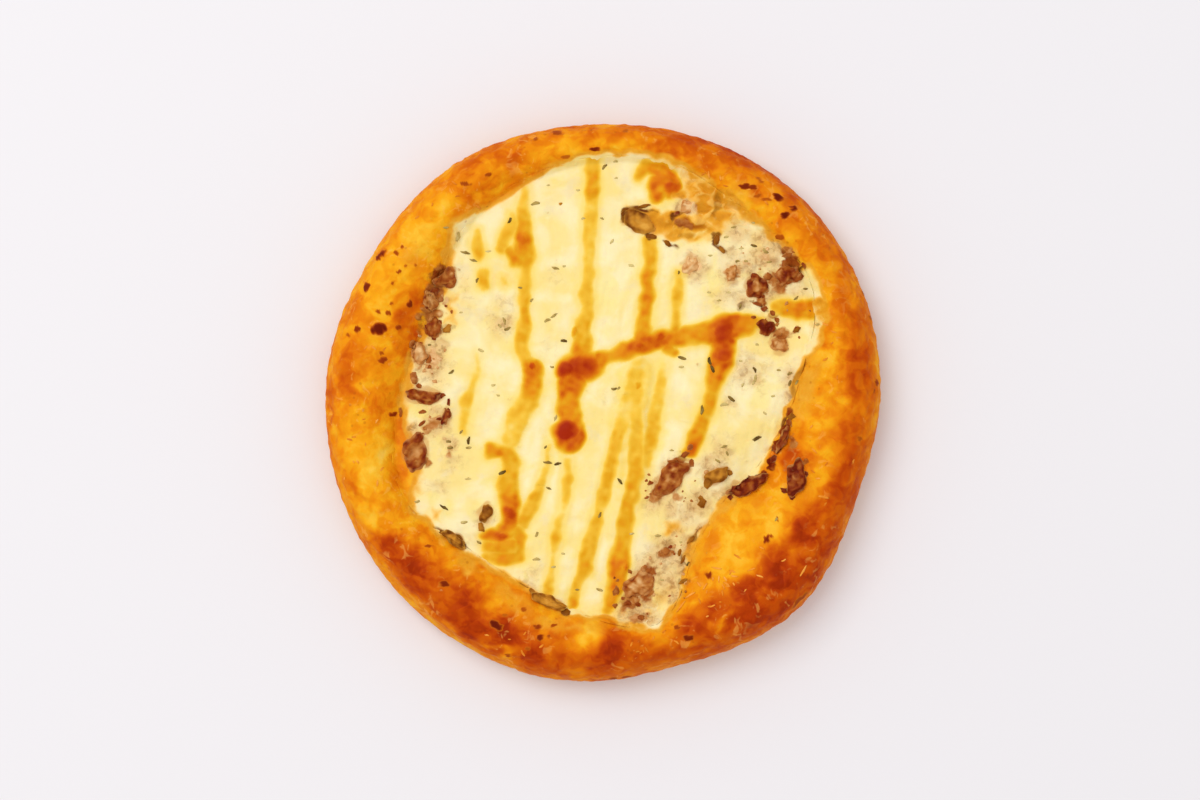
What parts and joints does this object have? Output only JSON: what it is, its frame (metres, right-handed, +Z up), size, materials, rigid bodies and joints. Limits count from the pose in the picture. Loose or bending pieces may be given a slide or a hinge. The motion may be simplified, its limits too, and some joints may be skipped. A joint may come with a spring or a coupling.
{
  "type": "personal pizza",
  "caption": "Small round baked pizza with a tall puffy bread rim, pale melted cheese with browned stripes, crumbs of minced meat, mushroom pieces and herb flecks.",
  "frame": {"origin": "middle of the flat underside of the bread", "axes": "+Z up through the pizza, +Y towards the side where the cheese comes nearest to the rim, +X to the right of that seen from above"},
  "size_m": [0.197, 0.1978, 0.0273],
  "materials": {
    "crust": "baked bread crust, golden to dark orange-brown, satin",
    "cheese": "melted pale cheese, softly glossy, with golden-brown baked stripes and dark green herb flecks",
    "meat": "browned minced meat, dark red-brown, slightly oily",
    "mushroom": "roasted mushroom, olive-brown, slightly wet"
  },
  "bodies": {
    "root": {"crust": "crust", "cheese": "cheese", "meat_01": "meat", "meat_02": "meat", "meat_03": "meat", "meat_04": "meat", "meat_05": "meat", "meat_06": "meat", "meat_07": "meat", "meat_08": "meat", "meat_09": "meat", "meat_10": "meat", "meat_11": "meat", "meat_12": "meat", "meat_13": "meat", "meat_14": "meat", "meat_15": "meat", "meat_16": "meat", "meat_17": "meat", "meat_18": "meat", "meat_19": "meat", "mushroom_01": "mushroom", "mushroom_02": "mushroom", "mushroom_03": "mushroom", "mushroom_04": "mushroom", "mushroom_05": "mushroom"}
  },
  "joints": []
}
